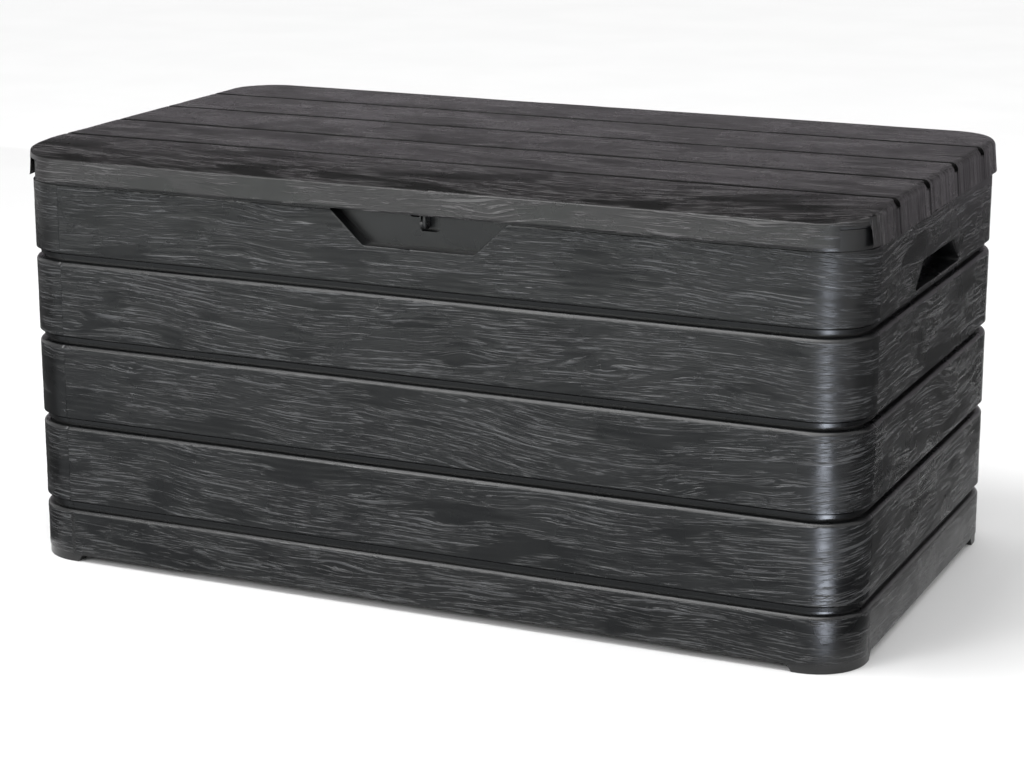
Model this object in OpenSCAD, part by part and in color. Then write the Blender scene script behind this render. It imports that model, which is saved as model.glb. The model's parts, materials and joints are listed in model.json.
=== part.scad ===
// Deck storage box: moulded plank-effect walls on a footed base tray, under a
// hinged five-plank lid held by two gas struts and closed by a padlock lug pair.
// Frame: +X along the length, -Y the front, +Z up. Origin: centre of the whole
// outline, on the ground.

/* [Walls] */
// Length over the walls, end face to end face
body_w = 1200; // [1100:10:1300]
// Depth over the walls, front face to back face
body_d = 662; // [620:2:720]
// Plan radius of the four wall corners
corner_r = 70; // [60:2:80]
// Thickness of the moulded walls
wall_t = 4.5; // [4:0.5:5]
// Height of the walls' top rim
rim_z = 560; // [558:1:560]

/* [Planks] */
// Height of the base row, up to its groove
base_row_h = 76; // [70:2:80]
// Height of the lowest wall plank
low_row_h = 120; // [112:2:122]
// Height of each middle wall plank
row_h = 116; // [112:2:116]
// Depth of the lowest groove; the others are slot_in deeper
groove_d = 8; // [7:0.5:8]
// Height of the set-back strip above each groove
strip_h = 8.5; // [7:0.5:9]
// Radius of each plank's top edge
edge_r = 6.5; // [4:0.5:6.5]

/* [Lid] */
// Height of the lid's lower edge
lid_skirt_z = 536.5; // [534:0.5:538]
// Height of the lid's top
lid_top_z = 581; // [580:0.5:582]
// How far the lid stands out past the walls
lid_overhang = 6; // [6:0.5:8]
// Thickness of the lid's shell
lid_t = 3; // [2.5:0.5:3]
// Width of the grooves in the lid
lid_groove_w = 5; // [4:0.5:6]
// Depth of the grooves in the lid
lid_groove_d = 8; // [6:0.5:8]

/* [Hinges and struts] */
// Radius of the hinge knuckles
knuckle_r = 7; // [6:0.5:7]
// Radius of the hinge pins
pin_r = 3; // [2.5:0.25:3.5]
// Outer radius of the gas strut's tube
tube_r = 9; // [8:0.5:10]
// Radius of the gas strut's rod
rod_r = 4; // [3.5:0.5:5]

/* [Hidden] */
$fn = 48;

charcoal = "#3b3c3f";
dark = "#2a2b2d";
black = "#161718";
steel = "#b8bcc0";

run = 0.05;      // radial clearance of a running pin
gap = 0.2;       // gap between moulded pieces that overlap
over = 1;        // how far a cutter passes the surface it cuts

// ---- places of the main planes ----
hinge_out = 14;                                   // hinge axis behind the back face
total_d = lid_overhang + body_d + hinge_out + knuckle_r;
front_y = -total_d / 2 + lid_overhang;            // front face of the walls
back_y = front_y + body_d;                        // back face of the walls
mid_y = (front_y + back_y) / 2;
hinge_y = back_y + hinge_out;
hinge_z = lid_skirt_z + 0.5;
straight_w = body_w - 2 * corner_r;
straight_d = body_d - 2 * corner_r;
slot_h = 4;                                       // height of each groove's open slot
slot_in = 4;                                      // extra depth of the slots above the base
strip_in = 5.5;                                   // how far each strip is set back
crease_in = 8.5;                                  // shadow line between strip and plank
crease_line = 2.8;
crease_h = slot_h + strip_h;                      // from a groove's bottom to the plank's edge
groove_z = [for (i = [0:3]) base_row_h + (i > 0 ? low_row_h + (i - 1) * row_h : 0)];
rebate_z = 533.5;                                 // the wall is set back behind the lid's skirt
rebate_in = 2.5;
rim_in = 16;                                      // inner edge of the rim's flange
rim_t = 4;

// ---- section of the planked wall, as [distance inwards, height] ----
function top_edge(z, n = 5) =
    [for (i = [0:n]) let (a = 90 * i / n) [edge_r * (1 - cos(a)), z - edge_r + edge_r * sin(a)]];
function slot_d(i) = i == 0 ? groove_d : groove_d + slot_in;
function groove(i) = let (z = groove_z[i], crease = z + crease_h) [
    [slot_d(i), z], [slot_d(i), z + slot_h], [strip_in + 1, z + slot_h],
    [strip_in, crease - crease_line], [crease_in, crease - crease_line], [crease_in, crease], [0, crease]
];
// The wall's inner face behind a groove, from the top down.
function behind(i) = let (z = groove_z[i], d = slot_d(i) + wall_t) concat(
    [[wall_t, z + crease_h + wall_t], [d, z + crease_h + wall_t], [d, i == 0 ? z : z - wall_t]],
    i == 0 ? [] : [[wall_t, z - wall_t]]
);
wall_outline = concat(
    groove(0),
    [for (i = [1:3]) each concat(top_edge(groove_z[i]), groove(i))],
    [[0, rebate_z], [rebate_in, rebate_z], [rebate_in, rim_z], [wall_t, rim_z]],
    [for (i = [3:-1:0]) each behind(i)]
);

// ---- sweeps along a straight wall and round a corner ----
// A section drawn as [inwards, up] runs along +X, with its face at Y = 0.
module along_x(l) { rotate([90, 0, 90]) linear_extrude(l) children(); }
// An outline drawn as [X, Z] is carried along +Y.
module along_y(l) { translate([0, l, 0]) rotate([90, 0, 0]) linear_extrude(l) children(); }
// The same section turned through a corner that starts at the origin, heading +X.
module round_corner(a = 90) {
    translate([0, corner_r, 0]) rotate([0, 0, -90]) rotate_extrude(angle = a, $fn = 96)
        translate([corner_r, 0]) mirror([1, 0]) children();
}
// Puts a piece drawn for the front at side 0 front, 1 right, 2 back or 3 left.
module at_side(k) {
    place = [
        [-straight_w / 2, front_y], [body_w / 2, front_y + corner_r],
        [straight_w / 2, back_y], [-body_w / 2, back_y - corner_r]
    ][k];
    translate([place[0], place[1], 0]) rotate([0, 0, 90 * k]) children();
}
function side_len(k) = k % 2 == 0 ? straight_w : straight_d;

// ================= base tray =================
skirt_z = 12;            // lower edge of the skirt
floor_z = 30;            // top of the floor
floor_t = 4;
up_in = groove_d + wall_t + gap;      // upstand behind the wall panels
up_t = 4;
up_h = 16;
foot_in = 22;            // how far each foot reaches inwards
foot_run = 14;           // how far each foot runs past the corner
floor_rib_z = 18;        // lower edge of the ribs under the floor
pad_x = 200;             // spacing of those ribs and of the rest pads

module base_section() {
    polygon(concat(
        [[0, skirt_z]],
        top_edge(base_row_h),
        [
            [up_in, base_row_h], [up_in, base_row_h + up_h],
            [up_in + up_t, base_row_h + up_h], [up_in + up_t, floor_z - floor_t],
            [up_in, floor_z - floor_t], [up_in, base_row_h - wall_t],
            [edge_r, base_row_h - wall_t], [wall_t, base_row_h - 2 * wall_t], [wall_t, skirt_z]
        ]
    ));
}
module foot_section() { polygon([[1, 0], [foot_in, 0], [foot_in, skirt_z + 6], [1, skirt_z + 6]]); }
// The foot's run along a wall, ending in a slope.
module foot_run_section() {
    polygon([[0, 0], [foot_run - 8, 0], [foot_run, 9], [foot_run, skirt_z + 4], [0, skirt_z + 4]]);
}
module inset_plan(inset) {
    r = max(corner_r - inset, 4);
    for (x = [-1, 1]) for (y = [-1, 1])
        translate([x * (body_w / 2 - inset - r), mid_y + y * (body_d / 2 - inset - r)])
            circle(r);
    for (cut = [[r, 0], [0, r]]) translate([-body_w / 2 + inset + cut[0], front_y + inset + cut[1]])
        square([body_w - 2 * (inset + cut[0]), body_d - 2 * (inset + cut[1])]);
}
skid = 2;                // the skirt's lower strip beside each foot
skid_run = 180;
module base_tray() color(charcoal) {
    for (k = [0:3]) at_side(k) {
        along_x(side_len(k)) base_section();
        translate([side_len(k), 0, 0]) {
            round_corner() base_section();
            round_corner() foot_section();
        }
        // foot stubs past both corners, and the strip between skirt and foot
        translate([0, 1, 0]) along_y(foot_in - 1) foot_run_section();
        translate([side_len(k), 1, 0]) mirror([1, 0, 0]) along_y(foot_in - 1) foot_run_section();
        if (k % 2 == 0) for (x = [0, side_len(k) - skid_run])
            translate([x, 0.5, skirt_z - skid]) cube([skid_run, wall_t - 0.5, skid + over]);
    }
    translate([0, 0, floor_z - floor_t]) linear_extrude(floor_t) inset_plan(up_in + 1);
    // ribs and rest pads under the floor
    for (y = [-1, 0, 1]) translate([-body_w / 2 + up_in, y * body_d / 4 + mid_y - 2, floor_rib_z])
        cube([body_w - 2 * up_in, 4, floor_z - floor_t - floor_rib_z + over]);
    for (x = [-2:2]) translate([x * pad_x - 2, front_y + up_in, floor_rib_z])
        cube([4, body_d - 2 * up_in, floor_z - floor_t - floor_rib_z + over]);
    for (x = [-1, 1]) for (y = [-1, 1])
        translate([x * pad_x, y * body_d / 4 + mid_y, 0]) cylinder(r = 24, h = floor_z - over);
}

// ================= wall panels =================
tab_l = 24;              // tabs that reach behind the next panel
tab_t = 3;
tab_u = wall_t + gap;    // their outer face
tab_margin = 20;         // from each groove to the tab above it
screw_r = 2;
seam_screw_z = [for (i = [0:3]) groove_z[i] + (i == 3 ? 62 : 64)];

module wall_section() {
    polygon(wall_outline);
    translate([wall_t - over, rim_z - rim_t]) square([rim_in - wall_t + over, rim_t]);
}
// Screw places of one seam, on the start of a straight wall; +Z of each points inwards.
module seam_places() {
    for (z = seam_screw_z) translate([tab_l / 2, 0, z]) rotate([-90, 0, 0]) children();
}
module seam_holes() { seam_places() translate([0, 0, 1.5]) cylinder(r = screw_r, h = 20, $fn = 32); }
// One flat tab behind each plank of the next panel, rooted in the end of the corner.
module seam_tabs() {
    for (i = [0:3]) {
        z = groove_z[i] + tab_margin;
        h = (i < 3 ? groove_z[i + 1] : rim_z) - 14 - z;
        translate([-1, tab_u, z]) cube([tab_l + 1, tab_t, h]);
        translate([-10, wall_t - 1.5, z]) cube([9.5, tab_u + tab_t - wall_t + 1.5, h]);
    }
}
// One panel: a straight wall, the corner at its right end and tabs behind the next panel.
module plain_panel(l) {
    difference() {
        union() {
            along_x(l) wall_section();
            translate([l, 0, 0]) round_corner() wall_section();
            next_seam(l) seam_tabs();
        }
        seam_holes();
        next_seam(l) seam_holes();
    }
}
module next_seam(l) { translate([l + corner_r, corner_r, 0]) rotate([0, 0, 90]) children(); }

// ---- finger pocket of the front panel, under the lid ----
pocket_x = 11.5;         // centre of the pocket
pocket_z = 490.5;        // bottom of the pocket
pocket_top = 548;
pocket_half = 78.5;      // half width at the bottom
pocket_lean = 1.06;      // growth of the half width per unit of height
pocket_in = 20;          // depth of the pocket
pocket_t = 3.5;
window = [-4.3, 21.5, 512, 545];     // padlock window: left, right, bottom, top
slot = [-18.7, -6.4, 529.5, 545];    // slot beside it
window_in = 30;
lug_y = 21.5;            // padlock hole, from the front face
lug_z = 521;
lug_r = 7.2;
padlock_r = 3.6;
lug_t = 3.5;
body_lug_x = -3.3;       // left face of the body's lug, from the pocket's centre
lid_lug_x = 0.9;

module pocket_outline(grow) {
    h = pocket_top - pocket_z;
    offset(delta = grow) hull() {
        for (s = [-1, 1]) translate([s * (pocket_half - 3), pocket_z + 6]) circle(r = 6, $fn = 32);
        translate([-pocket_half - pocket_lean * h, pocket_top - 1])
            square([2 * (pocket_half + pocket_lean * h), 1]);
    }
}
module window_box(w, u1, u2, grow = 0) {
    translate([w[0] - grow, u1, w[2] - grow]) cube([w[1] - w[0] + 2 * grow, u2 - u1, w[3] - w[2] + 2 * grow]);
}
module front_panel() color(charcoal) {
    difference() {
        union() {
            at_side(0) plain_panel(straight_w);
            translate([pocket_x, front_y, 0]) {
                translate([0, 1, 0]) along_y(pocket_in + pocket_t - 1) pocket_outline(pocket_t);
                window_box([slot[0], window[1], window[2], window[3]], pocket_in, window_in + 3, 3);
            }
        }
        translate([pocket_x, front_y, 0]) {
            translate([0, -over, 0]) along_y(pocket_in + over) pocket_outline(0);
            window_box(window, pocket_in - over, window_in);
            window_box(slot, pocket_in - over, window_in);
            // way for the lid's lug, up through the pocket's ceiling and the rim
            window_box([lid_lug_x - 1, lid_lug_x + lug_t + 1, 530, rim_z + over], 11, window_in + 1.5);
        }
    }
}
module right_end_panel() color(charcoal) end_panel(1);
module back_panel() color(charcoal) at_side(2) difference() {
    plain_panel(straight_w);
    for (x = hinge_x) translate([straight_w / 2 - x, 0, 0]) base_screw_holes();
}
module left_end_panel() color(charcoal) end_panel(3);

// ---- hand recess of the end panels ----
hand_z = 444.5;
hand_top = 478.5;
hand_half = 107.7;
hand_half_top = 70.5;
hand_in = 30;
module hand_outline(grow) {
    offset(delta = grow) polygon([
        [-hand_half, hand_z], [hand_half, hand_z], [hand_half_top, hand_top], [-hand_half_top, hand_top]
    ]);
}
module end_panel(k) {
    at_side(k) difference() {
        union() {
            plain_panel(straight_d);
            translate([straight_d / 2, 1, 0]) along_y(hand_in + pocket_t - 1) hand_outline(pocket_t);
        }
        translate([straight_d / 2, -over, 0]) along_y(hand_in + over) hand_outline(0);
        translate([strut_along(k), 0, strut_foot_z]) foot_screw_holes();
    }
}
// A screw with its head's underside at the origin and its shank along -Z.
module screw(l, r = screw_r, head = 4) {
    translate([0, 0, -l]) cylinder(r = r, h = l + 0.5, $fn = 32);
    difference() {
        cylinder(r1 = head, r2 = head - 0.8, h = 2, $fn = 32);
        for (a = [0, 90]) rotate([0, 0, a]) translate([-2.4, -0.5, 1]) cube([4.8, 1, 2]);
    }
}
module seam_screws() color(steel) for (k = [0:3]) at_side(k) seam_places()
    translate([0, 0, tab_u + tab_t]) screw(tab_u + tab_t - 1.6);

// ================= padlock lugs =================
module lug_ring() {
    rotate([0, 90, 0]) cylinder(r = lug_r, h = lug_t);
}
module lug_hole() {
    translate([-over, 0, 0]) rotate([0, 90, 0]) cylinder(r = padlock_r, h = lug_t + 2 * over);
}
module padlock_lug_body() color(black) translate([pocket_x + body_lug_x, front_y + lug_y, lug_z])
    difference() {
        union() {
            lug_ring();
            translate([0, 0, -lug_r]) cube([lug_t, window_in - lug_y, 2 * lug_r]);
        }
        lug_hole();
    }
module padlock_lug_lid() color(black) translate([pocket_x + lid_lug_x, front_y + lug_y, lug_z])
    difference() {
        union() {
            lug_ring();
            translate([0, -lug_r, 0]) cube([lug_t, 2 * lug_r, liner_z + liner_t + over - lug_z]);
            // flange held between the liner and the shell
            translate([-12, -lug_r, liner_z + liner_t - lug_z]) cube([24 + lug_t, 2 * lug_r, 2]);
        }
        lug_hole();
    }

// ================= hinges =================
hinge_x = [-400, 0, 400];
leaf_w = 84;             // width of each leaf
leaf_t = 3;
knuckle_l = 24;          // each outer knuckle
base_leaf_z = 492;       // lower edge of the leaf on the wall
lid_leaf_z = 545;        // lower and upper edge of the leaf on the lid
lid_leaf_top = 569;
leaf_screw_dx = 28;
base_screw_z = 502;
lid_screw_z = 557;
draft = 0.1;             // slope of the lid's sides
function lid_back(z) = lid_overhang - draft * (z - lid_skirt_z);   // lid's side past the walls, at z

module base_screw_holes() {
    for (x = [-leaf_screw_dx, leaf_screw_dx]) translate([x, -over, base_screw_z])
        rotate([-90, 0, 0]) cylinder(r = screw_r, h = 10, $fn = 32);
}
// Runs along X from the hinge axis; [Y, Z] from the axis.
module hinge_base(x) {
    color(black) translate([x, hinge_y, hinge_z]) difference() {
        union() {
            for (s = [-1, 1]) translate([s > 0 ? leaf_w / 2 - knuckle_l : -leaf_w / 2, 0, 0]) {
                rotate([0, 90, 0]) cylinder(r = knuckle_r, h = knuckle_l);
                along_x(knuckle_l) polygon([
                    [-hinge_out + leaf_t, -29], [-hinge_out + leaf_t, -knuckle_r], [-5, -4.5],
                    [0, 0], [knuckle_r * 0.6, -knuckle_r * 0.8]
                ]);
            }
            translate([-leaf_w / 2, -hinge_out, base_leaf_z - hinge_z])
                cube([leaf_w, leaf_t, hinge_z - base_leaf_z - knuckle_r]);
        }
        translate([-leaf_w, 0, 0]) rotate([0, 90, 0]) cylinder(r = pin_r + run, h = 2 * leaf_w);
        translate([0, -hinge_out, -hinge_z]) base_screw_holes();
    }
}
module hinge_leaf(x) {
    w = leaf_w - 2 * knuckle_l - 1;
    color(black) translate([x, hinge_y, hinge_z]) difference() {
        union() {
            translate([-w / 2, 0, 0]) {
                rotate([0, 90, 0]) cylinder(r = knuckle_r, h = w);
                along_x(w) polygon([
                    [lid_back(543) - hinge_out, 6], [lid_back(560) - hinge_out, 23],
                    [0, knuckle_r - 0.3], [0, 0], [-knuckle_r + 0.8, 2]
                ]);
            }
            translate([-leaf_w / 2, -hinge_out, -hinge_z]) along_x(leaf_w) polygon([
                [lid_back(lid_leaf_z), lid_leaf_z], [lid_back(lid_leaf_top), lid_leaf_top],
                [lid_back(lid_leaf_top) + leaf_t, lid_leaf_top], [lid_back(lid_leaf_z) + leaf_t, lid_leaf_z]
            ]);
        }
        translate([-leaf_w, 0, 0]) rotate([0, 90, 0]) cylinder(r = pin_r + run, h = 2 * leaf_w);
        for (s = [-1, 1]) translate([s * leaf_screw_dx, -hinge_out - 4, lid_screw_z - hinge_z])
            rotate([-90, 0, 0]) cylinder(r = screw_r, h = 20, $fn = 32);
    }
}
module hinge_pin(x) color(steel) translate([x - leaf_w / 2 - 2, hinge_y, hinge_z]) rotate([0, 90, 0]) {
    cylinder(r = pin_r, h = leaf_w + 4);
    cylinder(r = pin_r + 1.5, h = 1.8);
    translate([0, 0, leaf_w + 2.2]) cylinder(r = pin_r + 1.5, h = 1.8);
}
module hinge_base_left() hinge_base(hinge_x[0]);
module hinge_base_centre() hinge_base(hinge_x[1]);
module hinge_base_right() hinge_base(hinge_x[2]);
module hinge_leaf_left() hinge_leaf(hinge_x[0]);
module hinge_leaf_centre() hinge_leaf(hinge_x[1]);
module hinge_leaf_right() hinge_leaf(hinge_x[2]);
module hinge_pin_left() hinge_pin(hinge_x[0]);
module hinge_pin_centre() hinge_pin(hinge_x[1]);
module hinge_pin_right() hinge_pin(hinge_x[2]);
module hinge_base_screws() color(steel) for (x = hinge_x) for (s = [-1, 1])
    translate([x + s * leaf_screw_dx, back_y + leaf_t, base_screw_z])
        rotate([-90, 0, 0]) screw(leaf_t + wall_t);
module hinge_leaf_screws() color(steel) for (x = hinge_x) for (s = [-1, 1])
    translate([x + s * leaf_screw_dx, back_y + lid_back(lid_screw_z) + leaf_t + 0.3, lid_screw_z])
        rotate([-90, 0, 0]) screw(leaf_t + lid_t);

// ================= lid =================
lid_round = 10;          // rounding of the lid's top edges
plank_d = (body_d + 2 * lid_overhang) / 5;
lid_groove_y = [for (i = [1:4]) front_y - lid_overhang + i * plank_d + 2];
front_drop = 13;         // how far the front plank curves down to the front edge
bump_d = 14.5;           // the shell's ceiling under each groove, below the top
liner_z = 561;
liner_t = 3;
flare = 12;              // widening of the grooves at the lid's ends

function side_inset(z) = z < lid_top_z - lid_round ? draft * (z - lid_skirt_z)
    : draft * (lid_top_z - lid_round - lid_skirt_z)
        + lid_round * (1 - cos(asin(min(1, (z - lid_top_z + lid_round) / lid_round))));
module lid_plan(inset) {
    w = body_w / 2 + lid_overhang - inset;
    d = body_d / 2 + lid_overhang - inset;
    r = corner_r + lid_overhang - inset;
    translate([0, mid_y]) for (x = [-1, 1]) for (y = [-1, 1])
        translate([x * (w - r), y * (d - r)]) circle(r, $fn = 48);
}
// Solid that fills the lid's outline, shrunk by t and lowered by t.
module lid_block(t) {
    hull() for (z = [lid_skirt_z, for (a = [0, 22.5, 45, 67.5, 90]) lid_top_z - lid_round * (1 - sin(a))])
        translate([0, 0, z - t - (z == lid_skirt_z && t > 0 ? over : 0)])
            linear_extrude(0.01) lid_plan(side_inset(z) + t);
}
// The lid's front-to-back outline, lowered by t.
module lid_profile(t) {
    y1 = lid_groove_y[0] - lid_groove_w / 2;
    y0 = front_y - lid_overhang;
    polygon(concat(
        [[y0 - 9, lid_skirt_z - 9]],
        [for (i = [-1:8]) let (y = y0 + (y1 - y0) * i / 8)
            [y, lid_top_z - t - front_drop * pow((y1 - y) / (y1 - y0), 2)]],
        [[back_y + 20, lid_top_z - t], [back_y + 20, lid_skirt_z - 9]]
    ));
}
module lid_grooves() {
    half = body_w / 2 + lid_overhang + over;
    for (y = lid_groove_y) {
        translate([-half, y - lid_groove_w / 2, lid_top_z - lid_groove_d]) cube([2 * half, lid_groove_w, 30]);
        for (s = [0, 1]) mirror([s, 0, 0]) translate([half, y, lid_top_z - 11]) linear_extrude(30) polygon([
            [0, lid_groove_w / 2], [-26, lid_groove_w / 2], [-26, -lid_groove_w / 2],
            [-20, -lid_groove_w / 2 - 1.5], [-14, -lid_groove_w / 2 - 5], [-9, -lid_groove_w / 2 - flare],
            [0, -lid_groove_w / 2 - flare]
        ]);
    }
}
liner_screw_x = [-480, -160, 160, 480];
module liner_screw_places() {
    for (x = liner_screw_x) for (y = lid_groove_y) translate([x, y, liner_z]) rotate([180, 0, 0]) children();
}
module lid_shell() color(charcoal) difference() {
    intersection() {
        lid_block(0);
        translate([-body_w, 0, 0]) along_x(2 * body_w) lid_profile(0);
    }
    lid_grooves();
    difference() {
        intersection() {
            lid_block(lid_t);
            translate([-body_w, 0, 0]) along_x(2 * body_w) lid_profile(lid_t);
        }
        for (y = lid_groove_y) translate([-body_w, y - lid_groove_w / 2 - flare - 4, lid_top_z - bump_d])
            cube([2 * body_w, lid_groove_w + flare + 8, 30]);
    }
    liner_screw_places() translate([0, 0, -9.5]) cylinder(r = screw_r, h = 20, $fn = 32);
    for (x = hinge_x) for (s = [-1, 1]) translate([x + s * leaf_screw_dx, back_y - 2, lid_screw_z])
        rotate([-90, 0, 0]) cylinder(r = screw_r, h = 20, $fn = 32);
}
rib_h = 3;
module lid_liner() color(dark) difference() {
    union() {
        translate([0, 0, liner_z]) linear_extrude(liner_t) hull() lid_plan(lid_t + 4.5);
        // ribs on the underside, inside the rim
        for (y = lid_groove_y) translate([-body_w / 2 + 60, y - 2, liner_z - rib_h])
            cube([body_w - 120, 4, rib_h + over]);
        for (x = [-320, 0, 320]) translate([x - 2, front_y + 60, liner_z - rib_h])
            cube([4, body_d - 120, rib_h + over]);
    }
    liner_screw_places() translate([0, 0, -liner_t - over]) cylinder(r = screw_r, h = 20, $fn = 32);
    for (s = [-1, 1]) translate([s * head_plate_x, head_p[0], 0]) head_screw_holes();
    // way for the padlock lug
    translate([pocket_x + lid_lug_x, front_y + lug_y - lug_r, liner_z - over])
        cube([lug_t, 2 * lug_r, liner_t + 2 * over]);
}
module liner_screws() color(steel) liner_screw_places() translate([0, 0, rib_h]) screw(12, screw_r, 4.5);

// ================= gas struts =================
strut_in = 40;                         // strut plane, from the end face inwards
strut_x = body_w / 2 - strut_in;
strut_head_y = -86;                    // lid pivot from the hinge axis
strut_head_z = 9;
strut_foot_y = 370;                    // wall pivot, from the front face
strut_foot_z = 256;
eye_r = 8;
eye_t = 9;
stud_r = 4;
head_gap = 1;                          // open pivot: stud stops short of the eye
function strut_along(k) = k == 1 ? strut_foot_y - corner_r : body_d - strut_foot_y - corner_r;
foot_p = [front_y + strut_foot_y, strut_foot_z];
head_p = [hinge_y + strut_head_y, hinge_z + strut_head_z];
strut_l = norm(head_p - foot_p);
strut_a = atan2(head_p[1] - foot_p[1], head_p[0] - foot_p[0]);
tube_l = strut_l - 40;
bore_gap = 0.1;
// Strut axis frame: origin at the foot pivot, +Z along the strut, X across.
module strut_frame(s) {
    translate([s * strut_x, foot_p[0], foot_p[1]]) rotate([strut_a - 90, 0, 0]) children();
}
module foot_screw_holes() {
    for (z = [-16, 16]) translate([0, 1.5, z]) rotate([-90, 0, 0]) cylinder(r = screw_r, h = 20, $fn = 32);
}
module head_screw_holes() {
    for (x = [-10, 10]) translate([x, 0, liner_z - 20]) cylinder(r = screw_r, h = 40, $fn = 32);
}
// Wall bracket: plate on the inner face and a stud that carries the strut's lower eye.
module strut_foot(s) color(black) translate([s * body_w / 2, foot_p[0], foot_p[1]]) rotate([0, -90 * s, 0])
    difference() {
        union() {
            translate([-24, -14, wall_t]) cube([48, 28, 3]);
            translate([0, 0, wall_t]) cylinder(r1 = 11, r2 = 7, h = strut_in - eye_t / 2 - wall_t - 0.5);
            translate([0, 0, wall_t]) cylinder(r = stud_r, h = strut_in + eye_t / 2 + 2 - wall_t);
            translate([0, 0, strut_in + eye_t / 2 + 0.5]) cylinder(r = stud_r + 2, h = 1.8);
        }
        for (x = [-16, 16]) translate([x, 0, 0]) cylinder(r = screw_r, h = 20, $fn = 32);
    }
module strut_foot_left() strut_foot(-1);
module strut_foot_right() strut_foot(1);
module strut_foot_screws() color(steel) for (s = [-1, 1]) for (z = [-16, 16])
    translate([s * (body_w / 2 - wall_t - 3), foot_p[0], foot_p[1] + z]) rotate([0, -90 * s, 0]) screw(6);
// Lid bracket: plate under the liner, and an ear with a stud beside the strut's upper eye.
ear_t = 4;
ear_x = strut_x - eye_t / 2 - head_gap - 5 - ear_t;    // outboard face less the stud
head_plate_x = ear_x - 18;
head_drop = liner_z - head_p[1];
module strut_head(s) color(black) translate([0, head_p[0], 0]) mirror([s < 0 ? 1 : 0, 0, 0]) difference() {
    union() {
        translate([head_plate_x - 16, -12, liner_z - 3]) cube([16 + 18 + ear_t, 24, 3]);
        translate([ear_x, 0, 0]) {
            translate([0, -12, head_p[1]]) cube([ear_t, 24, head_drop]);
            translate([0, 0, head_p[1]]) rotate([0, 90, 0]) cylinder(r = 9, h = ear_t);
            translate([0, 0, head_p[1]]) rotate([0, 90, 0]) cylinder(r = stud_r, h = ear_t + 5);
        }
    }
    translate([head_plate_x, 0, 0]) head_screw_holes();
}
module strut_head_left() strut_head(-1);
module strut_head_right() strut_head(1);
module strut_head_screws() color(steel) for (s = [-1, 1]) for (x = [-10, 10])
    translate([s * head_plate_x + x, head_p[0], liner_z - 3]) rotate([180, 0, 0]) screw(5);
module eye(z) {
    translate([-eye_t / 2, 0, z]) rotate([0, 90, 0]) cylinder(r = eye_r, h = eye_t);
}
module strut_tube(s) strut_frame(s) {
    color(black) difference() {
        union() {
            eye(0);
            cylinder(r = 5, h = 20);
            translate([0, 0, 14]) cylinder(r = tube_r, h = tube_l - 14);
        }
        translate([-eye_t, 0, 0]) rotate([0, 90, 0]) cylinder(r = stud_r + run, h = 2 * eye_t);
        translate([0, 0, 22]) cylinder(r = tube_r - 1.5, h = tube_l - 22 - 12);
        translate([0, 0, tube_l - 20]) cylinder(r = rod_r + bore_gap, h = 40);
    }
}
module strut_rod(s) strut_frame(s) color(steel) difference() {
    union() {
        translate([0, 0, 30]) cylinder(r = rod_r, h = strut_l - 30 - 6);
        translate([0, 0, 24]) cylinder(r = tube_r - 1.5 - bore_gap, h = 8);
        translate([0, 0, strut_l - 24]) cylinder(r = 5.5, h = 18);
        eye(strut_l);
    }
    translate([-eye_t, 0, strut_l]) rotate([0, 90, 0]) cylinder(r = stud_r + 0.5, h = 2 * eye_t);
}
module strut_tube_left() strut_tube(-1);
module strut_tube_right() strut_tube(1);
module strut_rod_left() strut_rod(-1);
module strut_rod_right() strut_rod(1);

base_tray();
front_panel();
right_end_panel();
back_panel();
left_end_panel();
seam_screws();
padlock_lug_body();
hinge_base_left();
hinge_base_centre();
hinge_base_right();
hinge_pin_left();
hinge_pin_centre();
hinge_pin_right();
hinge_base_screws();
strut_foot_left();
strut_foot_right();
strut_foot_screws();
lid_shell();
lid_liner();
liner_screws();
padlock_lug_lid();
hinge_leaf_left();
hinge_leaf_centre();
hinge_leaf_right();
hinge_leaf_screws();
strut_head_left();
strut_head_right();
strut_head_screws();
strut_tube_left();
strut_rod_left();
strut_tube_right();
strut_rod_right();
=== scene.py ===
"""Deck storage box: the looks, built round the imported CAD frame.

The walls, the base and the lid are swept here as dense meshes with their wood grain
embossed in the surface. Hinges, struts, lugs, screws and the lid's liner keep their CAD
meshes and get materials. Metres; +X along the length, -Y the front, +Z up."""

import json
import math

import bmesh
import bpy
import numpy as np
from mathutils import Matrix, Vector


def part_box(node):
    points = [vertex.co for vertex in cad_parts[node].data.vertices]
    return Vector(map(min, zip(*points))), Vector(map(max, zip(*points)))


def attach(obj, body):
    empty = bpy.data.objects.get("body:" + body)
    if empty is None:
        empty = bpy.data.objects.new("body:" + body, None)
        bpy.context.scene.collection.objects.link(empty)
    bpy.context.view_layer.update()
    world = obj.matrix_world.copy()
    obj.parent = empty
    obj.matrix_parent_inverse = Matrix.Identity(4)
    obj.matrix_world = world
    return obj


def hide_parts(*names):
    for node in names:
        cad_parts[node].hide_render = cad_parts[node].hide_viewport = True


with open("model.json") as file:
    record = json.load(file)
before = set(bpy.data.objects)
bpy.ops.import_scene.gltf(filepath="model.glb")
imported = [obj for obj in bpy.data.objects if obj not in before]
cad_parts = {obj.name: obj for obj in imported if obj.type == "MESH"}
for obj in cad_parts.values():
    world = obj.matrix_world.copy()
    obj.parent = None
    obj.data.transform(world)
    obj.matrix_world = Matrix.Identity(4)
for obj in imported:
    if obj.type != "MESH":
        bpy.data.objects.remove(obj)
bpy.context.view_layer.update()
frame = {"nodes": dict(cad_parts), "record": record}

# ---------------- sizes, from the frame where it has them ----------------
HALF_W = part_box("right_end_panel")[1].x
FRONT_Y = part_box("front_panel")[0].y
BACK_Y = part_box("back_panel")[1].y
RIM_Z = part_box("front_panel")[1].z
MID_Y = (FRONT_Y + BACK_Y) / 2
LID_LOW, LID_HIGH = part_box("lid_shell")

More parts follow.
